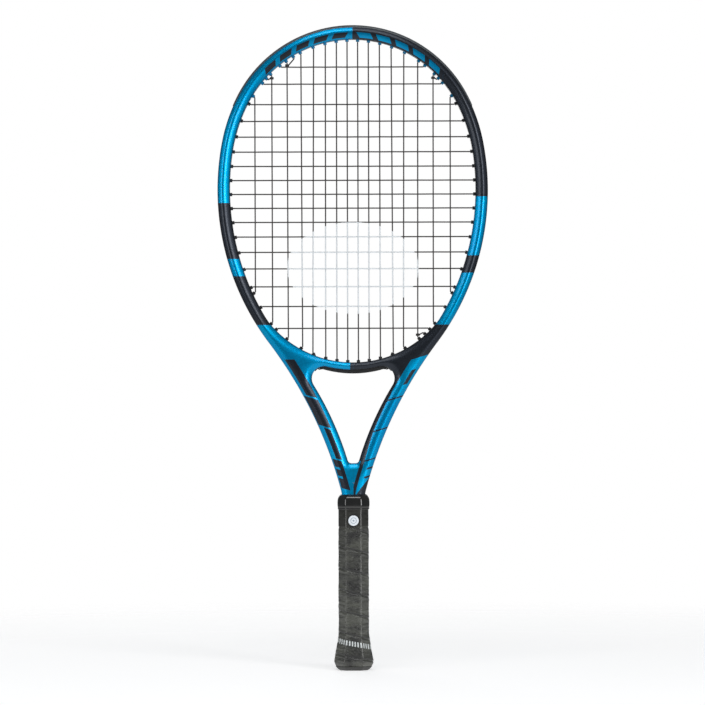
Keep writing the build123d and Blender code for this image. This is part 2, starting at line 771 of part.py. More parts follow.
def butt_cap_lid():
    """Push-in lid: a flange flush in the recess, a hollow plug above it and a coin slot below."""
    low = LID_RECESS + LID_FLANGE - LID_GAP
    width, depth = LID_WIDTH - 2 * LID_GAP, LID_DEPTH - 2 * LID_GAP
    flange = rounded_box(width, depth, LID_RECESS, low)
    width, depth = width - 2 * LID_LEDGE, depth - 2 * LID_LEDGE
    plug = rounded_box(width, depth, low, low + LID_PLUG)
    hollow = Box(width - 2 * LID_PLUG_WALL, depth - 2 * LID_PLUG_WALL, LID_PLUG)
    slot = Pos(0, 0, LID_RECESS) * Box(*COIN_SLOT, 2 * COIN_SLOT_DEPTH)
    return flange + plug - Pos(0, 0, low + LID_PLUG / 2 + LID_PLUG_FLOOR) * hollow - slot


def butt_staples():
    """Four wire staples through the cap's skirt into the pallet, and the slots that they lie in."""
    staples, slots = [], []
    for angle, across in ((0, GRIP_WIDTH), (90, GRIP_DEPTH), (180, GRIP_WIDTH), (270, GRIP_DEPTH)):
        surface = across / 2 - GRIP_THICKNESS
        crown = Pos(surface - STAPLE_WIRE / 2, 0, STAPLE_Z) * Box(STAPLE_WIRE, STAPLE_CROWN, STAPLE_WIRE)
        leg = Box(STAPLE_LEG, STAPLE_WIRE, STAPLE_WIRE)
        leg_x, leg_y = surface - STAPLE_WIRE - STAPLE_LEG / 2, (STAPLE_CROWN - STAPLE_WIRE) / 2
        legs = [Pos(leg_x, y, STAPLE_Z) * leg for y in (-leg_y, leg_y)]
        staple = Rot(0, 0, angle) * (crown + legs)
        reach = Pos(surface + STAPLE_LEG / 2, 0, STAPLE_Z) * Box(STAPLE_LEG, STAPLE_CROWN, STAPLE_WIRE)
        staples.append(staple.solids()[0])
        slots.append(staple + Rot(0, 0, angle) * reach)
    return staples, slots


def grip_tack():
    """Tack that holds the start of the grip, through the cap's skirt, on the back of the butt."""
    y = GRIP_DEPTH / 2 + FLARE * (FLARE_TOP - TACK_Z) / (FLARE_TOP - FLARE_WIDEST_Z) - GRIP_THICKNESS / 2
    head = Pos(0, y, TACK_Z) * Rot(90, 0, 0) * Cylinder(TACK_HEAD / 2, TACK_HEAD_THICKNESS)
    nail = Pos(0, y - TACK_LENGTH / 2, TACK_Z) * Rot(90, 0, 0) * Cylinder(TACK_NAIL / 2, TACK_LENGTH)
    return head + nail


def finishing_tape():
    outside = prism(TAPE_SQUEEZE - TAPE_THICKNESS, TAPE_LOW, TAPE_TOP)
    return outside - prism(TAPE_SQUEEZE, TAPE_LOW - PAST, TAPE_TOP + PAST)


def grip_disc():
    y = -GRIP_DEPTH / 2 + TAPE_SQUEEZE - TAPE_THICKNESS - DISC_THICKNESS / 2
    return Pos(0, y, DISC_Z) * Rot(90, 0, 0) * Cylinder(DISC_DIAMETER / 2, DISC_THICKNESS)


def grip_collar():
    """Rubber collar that overlaps the top of the grip and closes round the shaft above it."""

    def outside(half):
        low, high = (half + COLLAR_LOW_OUT, 0, COLLAR_LOW), (half - COLLAR_TOP_IN, 0, COLLAR_TOP)
        return [ThreePointArc(low, (half + COLLAR_BULGE, 0, COLLAR_BULGE_Z), high)]

    grip_inset = TAPE_SQUEEZE - TAPE_THICKNESS - COLLAR_GAP
    over_grip = prism(grip_inset, COLLAR_LOW - PAST, GRIP_TOP + COLLAR_GAP)
    over_pallet = prism(GRIP_THICKNESS - COLLAR_GAP, GRIP_TOP, PALLET_TOP + COLLAR_GAP)
    shaft = Pos(0, 0, PALLET_TOP + CLEAR / 2) * Box(2 * COLLAR_THROAT, BEAM + 2 * COLLAR_GAP, CLEAR)
    shaft = fillet(shaft.edges().filter_by(Axis.Z), OUTER_ROUNDING)
    return octagon(outside) - over_grip - over_pallet - shaft


# ---------------------------------------------------------------- writing


def write(name, shape):
    export_step(Compound(shape.solids()), "parts/" + name + ".step")


def main():
    os.makedirs("parts", exist_ok=True)
    whole, tube, bridge, wedge = frame_pieces()
    cap, pallet, grip, staples, tack = handle_pieces(whole)
    mains, crosses = main_string(), cross_string()
    pieces = {
        "frame_tube": tube,
        "throat_bridge": bridge,
        "throat_wedge": wedge,
        "bumper_guard": bumper_guard(whole),
        "top_grommet_strip": top_strip(),
        "left_grommet_strip": side_strip(-1),
        "right_grommet_strip": side_strip(1),
        "bridge_grommet_strip": bridge_strip(),
        "main_string": mains,
        "cross_string": crosses,
        "string_knots": string_knots([mains, crosses]),
        "handle_pallet": pallet,
        "butt_cap": cap,
        "butt_cap_lid": butt_cap_lid(),
        "butt_cap_staples": staples,
        "grip_tack": tack,
        "grip_wrap": grip,
        "finishing_tape": finishing_tape(),
        "grip_disc": grip_disc(),
        "grip_collar": grip_collar(),
    }
    for name, shape in pieces.items():
        write(name, shape)


main()
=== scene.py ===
import json
from math import atan2, ceil, cos, hypot, pi, radians, sin, sqrt, tan

import bpy
import numpy as np
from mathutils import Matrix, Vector, kdtree, noise


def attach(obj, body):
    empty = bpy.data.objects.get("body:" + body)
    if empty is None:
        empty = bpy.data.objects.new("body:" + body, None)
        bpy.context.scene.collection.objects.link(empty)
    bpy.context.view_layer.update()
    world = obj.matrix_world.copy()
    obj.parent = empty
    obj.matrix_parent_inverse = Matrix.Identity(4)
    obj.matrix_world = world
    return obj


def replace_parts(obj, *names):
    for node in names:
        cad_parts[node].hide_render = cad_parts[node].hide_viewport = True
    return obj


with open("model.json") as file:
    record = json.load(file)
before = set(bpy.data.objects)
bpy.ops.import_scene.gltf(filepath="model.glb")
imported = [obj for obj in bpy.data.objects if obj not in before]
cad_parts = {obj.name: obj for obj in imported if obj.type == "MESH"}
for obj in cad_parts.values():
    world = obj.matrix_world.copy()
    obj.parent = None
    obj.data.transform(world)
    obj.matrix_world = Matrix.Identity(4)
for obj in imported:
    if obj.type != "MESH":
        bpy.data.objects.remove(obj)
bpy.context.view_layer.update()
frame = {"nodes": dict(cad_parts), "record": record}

MM, TO_MM = 0.001, 1000.0

# ------------------------------------------------------------------ outlines of the frame, in mm

# Chains of (radius, turn) arcs from the top of the head down the right side, as in the CAD source.
TUBE_TOP = 633.7
TUBE_WIDTH = 12.4
TUBE_ARCS = [(127.2, 62.0), (164.2, 17.0), (250.2, 48.0), (418.8, -22.2), (38.0, -14.8)]
OPENING_TOP = TUBE_TOP - TUBE_WIDTH
OPENING_ARCS = [(115.4, 63.0), (157.9, 18.7), (247.0, 38.5), (68.6, 12.2)]
LEG_ARCS = [(115.4, 63.0), (157.9, 18.7), (247.0, 47.8), (316.6, -24.8)]
BRIDGE_DEPTH = 7.2
THROAT_CORNER = 12.0
WEB_TOP = 203.5
WEB_CORNER = 3.6
SKIN_LOW = 164.0
STATION = 1.4

# Cross-section of the tube: it rises from each side wall along a facet to a soft ridge.
HALF_BEAM = 10.5
OUTER_FACET, OUTER_SLOPES, OUTER_ROUNDING = 5.2, (radians(24), radians(32)), 2.5
INNER_FACET, INNER_SLOPES, INNER_ROUNDING = 7.2, (radians(13), radians(34)), 2.2
RIDGE_SOFTNESS = 0.3
FACET_COLUMNS, ROUNDING_COLUMNS = [1.0, 0.93, 0.8, 0.55, 0.25], 6
FLAT_MARGIN = 0.3  # extra column where the flat behind a ridge is wider than this
FARTHEST_IN, HALVINGS = 30.0, 18
SLOPE_STEP, FACET_CAP, NEAR_ZERO = 0.01, 3, 1e-9
SMALLEST_FACE = 1e-5
BACKING_HALF, BACKING_UNDER, BACKING_OVER = 1.6, 0.06, 280.0
GROOVE_HALF, GROOVE_DEPTH, GROOVE_LOW, GROOVE_RUN_OUT = 3.5, 3.0, 288.0, 5.0


class Arc:
    """A circular arc, walked from one end: point, and unit normal to the right of the walk."""

    def __init__(self, start, heading, radius, turn):
        self.heading, self.turn = heading, turn
        self.signed = radius if turn > 0 else -radius
        self.centre = start + right_of(heading) * self.signed
        self.length = radius * radians(abs(turn))

    def at(self, part):
        normal = right_of(self.heading + self.turn * part)
        return self.centre - normal * self.signed, normal

    def end(self):
        return self.at(1)[0]


def right_of(heading):
    return np.array([-sin(radians(heading)), -cos(radians(heading))])


def chain(top, arcs):
    made, at, heading = [], np.array([0.0, top]), 0.0
    for radius, turn in arcs:
        made.append(Arc(at, heading, radius, turn))
        at, heading = made[-1].end(), heading + turn
    return made


def walk(arcs, spacing=STATION):
    """Points and right-hand normals along a chain of arcs, evenly spaced on each."""
    points, normals = [], []
    for arc in arcs:
        count = max(2, ceil(arc.length / spacing))
        for step in range(count + (arc is arcs[-1])):
            point, normal = arc.at(step / count)
            points.append(point)
            normals.append(normal)
    return np.array(points), np.array(normals)


def straight(start, end, spacing=STATION):
    count = max(2, ceil(hypot(*(end - start)) / spacing))
    way = (end - start) / hypot(*(end - start))
    points = np.array([start + (end - start) * step / count for step in range(count + 1)])
    return points, np.tile([way[1], -way[0]], (count + 1, 1))


def joined(*walks):
    return np.vstack([w[0] for w in walks]), np.vstack([w[1] for w in walks])


def outer_walk():
    """The tube's outside from the top of the head to the top of the grip."""
    arcs = chain(TUBE_TOP, TUBE_ARCS)
    end = arcs[-1].end()
    return joined(walk(arcs), straight(end, np.array([end[0], SKIN_LOW])))


def opening_walk():
    """The string opening; its last arc is centred on the middle line."""
    arcs = chain(OPENING_TOP, OPENING_ARCS)
    heading = sum(turn for _, turn in OPENING_ARCS)
    end = arcs[-1].end()
    radius = end[0] / sin(radians(heading))
    arcs.append(Arc(end, heading, radius, 180 - heading))
    return walk(arcs), radius, arcs[-1].end()[1]


def throat_walk(bridge_radius, opening_bottom):
    """The open throat: under the bridge, round the top corner, down the leg and round the web."""
    leg = chain(OPENING_TOP, LEG_ARCS)[-1]
    bend = -leg.signed
    middle = np.array([0.0, opening_bottom + bridge_radius])
    under = bridge_radius + BRIDGE_DEPTH
    corner = circles_meet(middle, under + THROAT_CORNER, leg.centre, bend + THROAT_CORNER)
    on_bridge = middle + (corner - middle) * under / (under + THROAT_CORNER)
    bridge_turn = np.degrees(atan2(on_bridge[0], middle[1] - on_bridge[1]))
    floor = WEB_TOP + WEB_CORNER
    across = sqrt((bend + WEB_CORNER) ** 2 - (floor - leg.centre[1]) ** 2)
    web_centre = np.array([leg.centre[0] - across, floor])
    first, last = heading_of(corner - leg.centre), heading_of(web_centre - leg.centre)
    beside = Arc(np.array([0.0, middle[1] - under]), 0, under, -bridge_turn)
    round_top = Arc(on_bridge, -bridge_turn, THROAT_CORNER, bridge_turn + first)
    down = Arc(round_top.end(), first, bend, last - first)
    round_web = Arc(down.end(), last, WEB_CORNER, 180 - last)
    web = straight(round_web.end(), np.array([0.0, WEB_TOP]))
    return joined(walk([beside, round_top, down, round_web], STATION / 2), web)


def circles_meet(a, ra, b, rb):
    """Lower of the two points where two circles meet."""
    between = b - a
    d = hypot(*between)
    along = (ra * ra - rb * rb + d * d) / (2 * d)
    off = sqrt(ra * ra - along * along)
    way = between / d
    square = np.array([way[1], -way[0]])
    found = [a + way * along + square * off, a + way * along - square * off]
    return min(found, key=lambda p: p[1])


def heading_of(normal):
    """Heading whose right-hand normal this is."""
    return np.degrees(atan2(-normal[0], -normal[1]))


class Facet:
    """One wall of the frame with the rounding and the facet that rise from it towards the ridge.

    slopes are the facet's slopes at the ridge and at the rounding; it is crowned between them.
    """

    def __init__(self, points, inward, width, slopes, rounding):
        self.points, self.inward, self.width, self.rounding = points, inward, width, rounding
        self.slope, self.edge_slope = tan(slopes[0]), slopes[1]
        self.start = rounding * (1 - sin(slopes[1]))
        reach = width - self.start
        self.crown = (tan(slopes[1]) - self.slope) / (2 * reach)
        facet_drop = self.slope * reach
        self.wall = HALF_BEAM - facet_drop - self.crown * reach**2 - rounding * cos(slopes[1])
        self.tree = kdtree.KDTree(len(points))
        for number, point in enumerate(points):
            self.tree.insert((point[0], point[1], 0), number)
        self.tree.balance()

    def height(self, d):
        short = self.width - d
        line = HALF_BEAM - short * self.slope - self.crown * np.maximum(short, 0) ** 2
        inside = np.clip(self.rounding**2 - (self.rounding - d) ** 2, 0, None)
        arc = self.wall + np.sqrt(inside)
        return np.where(d < self.start, arc, np.minimum(line, HALF_BEAM + FACET_CAP))

    def distance(self, at):
        """Distance of each point from this wall, and the way that the distance grows."""
        found = [self.tree.find((p[0], p[1], 0))[1] for p in at]
        near, inward = self.points[found], self.inward[found]
        tangent = np.column_stack([inward[:, 1], -inward[:, 0]])
        foot = near + tangent * np.clip(np.sum((at - near) * tangent, 1), -1, 1)[:, None]
        gap = at - foot
        d = np.hypot(gap[:, 0], gap[:, 1])
        return d, gap / np.maximum(d, NEAR_ZERO)[:, None]


OUTSIDE_WALK = outer_walk()
OPENING_WALK, BRIDGE_RADIUS, OPENING_BOTTOM = opening_walk()
THROAT_WALK = throat_walk(BRIDGE_RADIUS, OPENING_BOTTOM)
OUTSIDE = Facet(*OUTSIDE_WALK, OUTER_FACET, OUTER_SLOPES, OUTER_ROUNDING)
OPENING = Facet(OPENING_WALK[0], -OPENING_WALK[1], INNER_FACET, INNER_SLOPES, INNER_ROUNDING)
THROAT = Facet(THROAT_WALK[0], -THROAT_WALK[1], INNER_FACET, INNER_SLOPES, INNER_ROUNDING)
FACETS = [OUTSIDE, OPENING, THROAT]


def depth_and_normal(at):
    """Depth of the skin in front of the string plane, and the slope of that depth, at points."""
    heights, ways = [np.full(len(at), HALF_BEAM)], [np.zeros((len(at), 2))]
    for facet in FACETS:
        d, way = facet.distance(at)
        h = facet.height(d)
        rise = (facet.height(d + SLOPE_STEP) - h) / SLOPE_STEP
        heights.append(h)
        ways.append(way * rise[:, None])
    heights, ways = np.array(heights), np.array(ways)
    weight = np.exp(-(heights - heights.min(0)) / RIDGE_SOFTNESS)
    depth = heights.min(0) - RIDGE_SOFTNESS * np.log(weight.sum(0))
    slope = (ways * (weight / weight.sum(0))[:, :, None]).sum(0)
    return depth, slope


def reach(facet):
    """How far in from each of a wall's points its own strip of the skin runs."""
    others = [f for f in FACETS if f is not facet]
    low, high = np.zeros(len(facet.points)), np.full(len(facet.points), FARTHEST_IN)
    for _ in range(HALVINGS):
        middle = (low + high) / 2
        at = facet.points + facet.inward * middle[:, None]
        share = np.min([f.distance(at)[0] / f.width for f in others], 0)
        inside = (middle / facet.width < share) & (at[:, 0] > -1e-6)
        low, high = np.where(inside, middle, low), np.where(inside, high, middle)
    return low


def strip_columns(facet, ends):
    """Columns of one wall's strip, from its ridge in front round to the wall's middle."""
    columns = []
    ends = np.maximum(ends, facet.rounding)
    facet_end = np.minimum(ends, facet.width)
    if (ends > facet.width + FLAT_MARGIN).any():
        columns.append(("face", ends))
    for share in FACET_COLUMNS:
        columns.append(("face", facet.start + (facet_end - facet.start) * share))
    for angle in np.linspace(facet.edge_slope, pi / 2, ROUNDING_COLUMNS):
        columns.append(("arc", angle))
    return columns


class Grid:
    """Vertices in rows and columns, with their own normals, gathered into one smooth mesh."""

    def __init__(self):
        self.points, self.normals, self.faces = [], [], []

    def add(self, points, normals, joins, flip=False):
        """points and normals are rows x columns x 3; joins says which columns join the next."""
        rows, columns = points.shape[:2]
        base = sum(len(p) for p in self.points)
        self.points.append(points.reshape(-1, 3))
        self.normals.append(normals.reshape(-1, 3))
        index = np.arange(rows * columns).reshape(rows, columns) + base
        after = np.roll(index, -1, 0)
        last = rows - 1
        for column in joins:
            pair = [column, (column + 1) % columns]
            quads = np.hstack([index[:last, pair], after[:last, pair[::-1]]])
            self.faces.append(quads[:, ::-1] if flip else quads)

    def mirror(self):
        """Adds the same again on the left."""
        count = sum(len(p) for p in self.points)
        left = np.array([-1, 1, 1])
        self.points += [p * left for p in list(self.points)]
        self.normals += [n * left for n in list(self.normals)]
        self.faces += [f[:, ::-1] + count for f in list(self.faces)]

    def piece(self, name, material, body="racket"):
        points = np.vstack(self.points)
        faces = np.vstack(self.faces)
        corner = points[faces]
        across = np.cross(corner[:, 2] - corner[:, 0], corner[:, 3] - corner[:, 1])
        faces = faces[np.linalg.norm(across, axis=1) > SMALLEST_FACE]
        mesh = bpy.data.meshes.new(name)
        mesh.from_pydata((points * MM).tolist(), [], faces.tolist())
        normals = np.vstack(self.normals)
        mesh.normals_split_custom_set_from_vertices(normals.tolist())
        return placed(name, mesh, material, body)


def placed(name, mesh, material, body="racket"):
    piece = bpy.data.objects.new(name, mesh)
    bpy.context.scene.collection.objects.link(piece)
    mesh.materials.append(material)
    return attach(piece, body)


def strip(grid, facet):
    """One wall of the frame, from its ridge in front round to its ridge behind."""
    ends = reach(facet)
    rows = len(facet.points)
    front, front_normals, joined_to_next = [], [], []

    def column(d, depth, normal_in, normal_depth, joined_on=True):
        d = np.broadcast_to(np.asarray(d, float), rows)
        at = facet.points + facet.inward * d[:, None]
        front.append(np.column_stack([at[:, 0], np.broadcast_to(-depth, rows), at[:, 1]]))
        sideways = facet.inward * np.broadcast_to(normal_in, rows)[:, None]
        front_normals.append(
            np.column_stack([sideways[:, 0], np.broadcast_to(-normal_depth, rows), sideways[:, 1]])
        )
        joined_to_next.append(joined_on)

    for kind, value in strip_columns(facet, ends):
        if kind == "face":
            at = facet.points + facet.inward * value[:, None]
            depth, slope = depth_and_normal(at)
            size = np.sqrt(1 + (slope**2).sum(1))
            facing = np.column_stack([-slope[:, 0], -np.ones(rows), -slope[:, 1]])
            front.append(np.column_stack([at[:, 0], -depth, at[:, 1]]))
            front_normals.append(facing / size[:, None])
            joined_to_next.append(True)
        else:
            r = facet.rounding
            column(r - r * sin(value), facet.wall + r * cos(value), -sin(value), cos(value))
    if facet is OUTSIDE:
        groove = GROOVE_DEPTH * np.clip((facet.points[:, 1] - GROOVE_LOW) / GROOVE_RUN_OUT, 0, 1)
        column(0, GROOVE_HALF, -1, 0, False)
        column(0, GROOVE_HALF, 0, -1)
        column(groove, GROOVE_HALF, 0, -1, False)
        column(groove, GROOVE_HALF, -1, 0)
    front, front_normals = np.array(front), np.array(front_normals)
    back = np.array([1, -1, 1])
    points = np.concatenate([front, front[::-1] * back]).transpose(1, 0, 2)
    normals = np.concatenate([front_normals, front_normals[::-1] * back]).transpose(1, 0, 2)
    half = len(front)
    joins = [c for c in range(half) if joined_to_next[c]]
    joins += [2 * half - 2 - c for c in range(half - 1) if joined_to_next[c]]
    grid.add(points, normals, joins, flip=facet is OUTSIDE)


def backing(grid):
    """A small patch just under the skin where the ridges of the three walls meet."""
    ends = reach(THROAT) * (THROAT.points[:, 1] > BACKING_OVER)
    row = ends.argmax()
    x, z = THROAT.points[row] + THROAT.inward[row] * ends[row]
    half, depth = BACKING_HALF, HALF_BEAM - BACKING_UNDER
    for side in (-1, 1):
        corners = [[(x + i, side * depth, z + j) for i in (-half, half)] for j in (-half, half)]
        grid.add(np.array(corners), np.tile([0.0, side, 0.0], (2, 2, 1)), [0], flip=side > 0)


def frame_skin(paint):
    grid = Grid()
    for facet in FACETS:
        strip(grid, facet)
    backing(grid)
    grid.mirror()
    skin = grid.piece("frame_skin", paint)
    points = np.vstack(grid.points)
    at = np.column_stack([np.abs(points[:, 0]), points[:, 2]])
    measures = {
        "from_outside": OUTSIDE.distance(at)[0],
        "from_inside": np.minimum(OPENING.distance(at)[0], THROAT.distance(at)[0]),
    }
    for name, values in measures.items():
        attribute = skin.data.attributes.new(name, "FLOAT", "POINT")
        attribute.data.foreach_set("value", values.astype(np.float32))
    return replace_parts(skin, "frame_tube", "throat_bridge", "throat_wedge")


# ------------------------------------------------------------------ materials


class Finish:
    """A procedural material: a Principled shader and short ways to add nodes to it."""

    def __init__(self, name, **sockets):
        self.material = bpy.data.materials.new(name)
        self.material.use_nodes = True
        self.tree = self.material.node_tree
        self.tree.nodes.clear()
        self.shader = self.tree.nodes.new("ShaderNodeBsdfPrincipled")
        output = self.tree.nodes.new("ShaderNodeOutputMaterial")
        self.tree.links.new(self.shader.outputs[0], output.inputs["Surface"])
        for socket, value in sockets.items():
            self.set(socket, value)
        self.place = self.tree.nodes.new("ShaderNodeTexCoord").outputs["Object"]

    def set(self, socket, value):
        """Sets a shader socket, named with underscores, to a value or to a node's output."""
        self.join(self.shader.inputs[socket.replace("_", " ")], value)

    def join(self, socket, value):
        if isinstance(value, bpy.types.NodeSocket):
            self.tree.links.new(value, socket)
        else:
            socket.default_value = value

    def node(self, kind, inputs=(), output=0, **settings):
        node = self.tree.nodes.new("ShaderNode" + kind)
        for name, value in settings.items():
            setattr(node, name, value)
        for key, value in dict(inputs).items():
            self.join(node.inputs[key], value)
        return node.outputs[output]

    def math(self, operation, a, b=0.0, clamp=False):
        return self.node("Math", {0: a, 1: b}, operation=operation, use_clamp=clamp)

    def over(self, value, edge, soft=0.2):
        """1 where value is over the edge, 0 where it is under, soft across it."""
        steps = self.math("DIVIDE", self.math("SUBTRACT", value, edge), soft)
        return self.math("ADD", steps, 0.5, clamp=True)

    def within(self, value, low, high, soft=0.2):
        return self.math("MULTIPLY", self.over(value, low, soft), self.under(value, high, soft))

    def under(self, value, edge, soft=0.2):
        return self.math("SUBTRACT", 1.0, self.over(value, edge, soft))

    def combined(self, operation, masks):
        result = masks[0]
        for mask in masks[1:]:
            result = self.math(operation, result, mask)
        return result

    def all_of(self, *masks):
        return self.combined("MULTIPLY", masks)

    def any_of(self, *masks):
        return self.combined("MAXIMUM", masks)

    def but_not(self, mask, hole):
        return self.math("MULTIPLY", mask, self.math("SUBTRACT", 1.0, hole))

    def mix(self, share, a, b):
        return self.node(
            "Mix", {0: share, 6: a, 7: b}, output=2, data_type="RGBA", clamp_factor=True
        )

    def scaled(self, *factors):
        return self.node("Mapping", {"Vector": self.place, "Scale": factors}, vector_type="POINT")

    def noise(self, vector, scale, detail=3.0, roughness=0.55):
        inputs = {"Vector": vector, "Scale": scale, "Detail": detail, "Roughness": roughness}
        return self.node("TexNoise", inputs)

    def ramp(self, value, low, high, to_low=0.0, to_high=1.0):
        inputs = {0: value, 1: low, 2: high, 3: to_low, 4: to_high}
        return self.node("MapRange", inputs, clamp=True)

    def bump(self, height, distance, strength=1.0, normal=None):
        inputs = {"Height": height, "Distance": distance, "Strength": strength}
        if normal is not None:
            inputs["Normal"] = normal
        return self.node("Bump", inputs)

    def relief(self, height, distance, strength=1.0, normal=None):
        self.set("Normal", self.bump(height, distance, strength, normal))


def colour(*rgb):
    return (*rgb, 1.0)


BLUE, BRIGHT_BLUE = colour(0.0, 0.27, 0.57), colour(0.0, 0.34, 0.63)
SLATE, SLATE_FLAKE = colour(0.031, 0.036, 0.046), colour(0.075, 0.095, 0.13)
BLUE_FLAKE = colour(0.0, 0.50, 0.76)

# Where the colours change, in mm: heights on the head, and a dark end to the bridge's blue half.
LEFT_BLUE_OVER, LEFT_BLUE_BAND, LEFT_BLUE_UNDER = 460.0, (388.0, 405.0), 340.0
RIGHT_BLUE_BANDS = [(408.0, 466.0), (340.0, 391.0)]
BRIDGE_DARK_ACROSS, BRIDGE_DARK_UP = (-3.0, 0.0), (280.0, 330.0)

# On the legs, a place is its rise, a height that slants with the leg's lines, and its distance
# in from the outside. Panels are (low, high, near, far).
LEG_TOP, LEG_FAR, RISE_SLANT = 306.0, 12.3, 0.3
LEFT_PANELS = [
    (257.2, 289.0, 3.0, 11.2), (231.6, 255.8, 0.8, 11.0),
    (203.6, 230.2, 4.4, 9.8), (176.0, 202.2, 1.2, 9.0),
]
CUTS, CUT_WIDTH, CUT_REACH = (193.4, 185.4), 1.9, 5.2
LINES, LINE_WIDTH = (254.6, 228.2, 201.8), 1.3
RIGHT_TOP, RIGHT_TOP_SLANT = 288.1, 0.304
INNER_EDGE = (205.0, 235.0, 9.4, 11.5)
LOW_WEDGE = (170.0, 190.0, 10.0, 0.0)
WEB_BLUE_UNDER, WEB_BLUE_FROM = 206.0, 12.9
BAR_RISE, BAR_IN = (266.0, 278.0), (2.4, 5.6)

# The head's row of blocks: degrees from the top, share of each step filled, and mm from the inside.
BLOCKS_FROM, BLOCKS_TO, BLOCK_STEP, BLOCK_SHARE, BLOCK_SLANT = 4.0, 50.0, 9.2, 0.72, 0.35
BLOCKS_IN, BLOCKS_OVER, BLOCK_SOFT = (1.3, 6.4), 545.0, 0.02


def frame_paint():
    """Metallic lacquer in blue and slate blocks, with plain slanted panels on the throat."""
    finish = Finish("frame_paint", Metallic=1.0, Coat_Weight=0.2, Coat_Roughness=0.1)
    axes = finish.node("SeparateXYZ", {0: finish.place}, output=0).node
    x = finish.math("MULTIPLY", axes.outputs[0], TO_MM)
    z = finish.math("MULTIPLY", axes.outputs[2], TO_MM)
    outside = finish.node("Attribute", attribute_name="from_outside", output=2)
    inside = finish.node("Attribute", attribute_name="from_inside", output=2)
    left = finish.under(x, 0.0)
    right = finish.over(x, 0.0)
    left_blue = finish.any_of(
        finish.over(z, LEFT_BLUE_OVER),
        finish.within(z, *LEFT_BLUE_BAND),
        finish.under(z, LEFT_BLUE_UNDER),
    )
    right_blue = finish.any_of(*[finish.within(z, *band) for band in RIGHT_BLUE_BANDS])
    bridge_dark = finish.all_of(
        finish.within(x, *BRIDGE_DARK_ACROSS), finish.within(z, *BRIDGE_DARK_UP)
    )
    blue = finish.any_of(
        finish.but_not(finish.all_of(left, left_blue), bridge_dark),
        finish.all_of(right, right_blue),
    )
    blue = leg_panels(finish, blue, x, z, outside, left, right)
    blocks = head_blocks(finish, x, z, inside)
    blue = finish.any_of(finish.but_not(blue, blocks), finish.but_not(blocks, blue))
    flake = finish.noise(finish.place, 2600.0, 1.0)
    shade = finish.noise(finish.place, 18.0, 2.0)
    blue_paint = finish.mix(finish.ramp(shade, 0.35, 0.65), BLUE, BRIGHT_BLUE)
    blue_paint = finish.mix(finish.ramp(flake, 0.62, 0.8, 0.0, 0.25), blue_paint, BLUE_FLAKE)
    dark_paint = finish.mix(finish.ramp(flake, 0.58, 0.8, 0.0, 0.5), SLATE, SLATE_FLAKE)
    finish.set("Base_Color", finish.mix(blue, dark_paint, blue_paint))
    mottle = finish.noise(finish.place, 900.0, 2.0)
    finish.set("Roughness", finish.ramp(mottle, 0.3, 0.7, 0.34, 0.44))
    finish.relief(finish.noise(finish.place, 420.0, 2.0), 0.00002, 0.25)
    return finish.material


def leg_panels(finish, blue, x, z, outside, left, right):
    """Dark panels on the left leg, and dark lines and edges on the blue right leg."""
    off = finish.math("ABSOLUTE", x)
    rise = finish.math("SUBTRACT", z, finish.math("MULTIPLY", off, RISE_SLANT))
    legs = finish.all_of(finish.under(z, LEG_TOP), finish.under(outside, LEG_FAR))
    panels = [
        finish.all_of(finish.within(rise, low, high), finish.within(outside, near, far))
        for low, high, near, far in LEFT_PANELS
    ]
    cuts = finish.all_of(
        finish.under(outside, CUT_REACH),
        finish.any_of(*[finish.within(rise, at, at + CUT_WIDTH) for at in CUTS]),
    )
    dark_left = finish.but_not(finish.all_of(left, legs, finish.any_of(*panels)), cuts)
    blue = finish.but_not(blue, dark_left)
    top = finish.math("ADD", finish.math("MULTIPLY", x, RIGHT_TOP_SLANT), RIGHT_TOP)
    inner_edge = finish.ramp(z, *INNER_EDGE)
    leg = finish.all_of(right, finish.under(z, top), finish.under(outside, inner_edge))
    web = finish.all_of(right, finish.under(z, WEB_BLUE_UNDER), finish.over(outside, WEB_BLUE_FROM))
    lines = finish.any_of(*[finish.within(rise, at, at + LINE_WIDTH) for at in LINES])
    wedge = finish.under(outside, finish.ramp(z, *LOW_WEDGE))
    bar = finish.all_of(finish.within(rise, *BAR_RISE), finish.within(outside, *BAR_IN))
    leg = finish.but_not(leg, finish.any_of(lines, wedge, bar, cuts))
    return finish.any_of(blue, leg, web)


def head_blocks(finish, x, z, inside):
    """A plain row of blocks along the inner half of the head, in the other colour."""
    centre = TUBE_TOP - TUBE_ARCS[0][0]
    angle = finish.math("ARCTAN2", x, finish.math("SUBTRACT", z, centre))
    angle = finish.math("ABSOLUTE", finish.math("MULTIPLY", angle, 180 / pi))
    slanted = finish.math("ADD", angle, finish.math("MULTIPLY", inside, BLOCK_SLANT))
    steps = finish.math("DIVIDE", finish.math("SUBTRACT", slanted, BLOCKS_FROM), BLOCK_STEP)
    filled = finish.within(finish.math("FRACT", steps), 0.0, BLOCK_SHARE, BLOCK_SOFT)
    row = finish.all_of(filled, finish.within(slanted, BLOCKS_FROM, BLOCKS_TO))
    return finish.all_of(row, finish.within(inside, *BLOCKS_IN), finish.over(z, BLOCKS_OVER))


# ------------------------------------------------------------------ handle, in mm

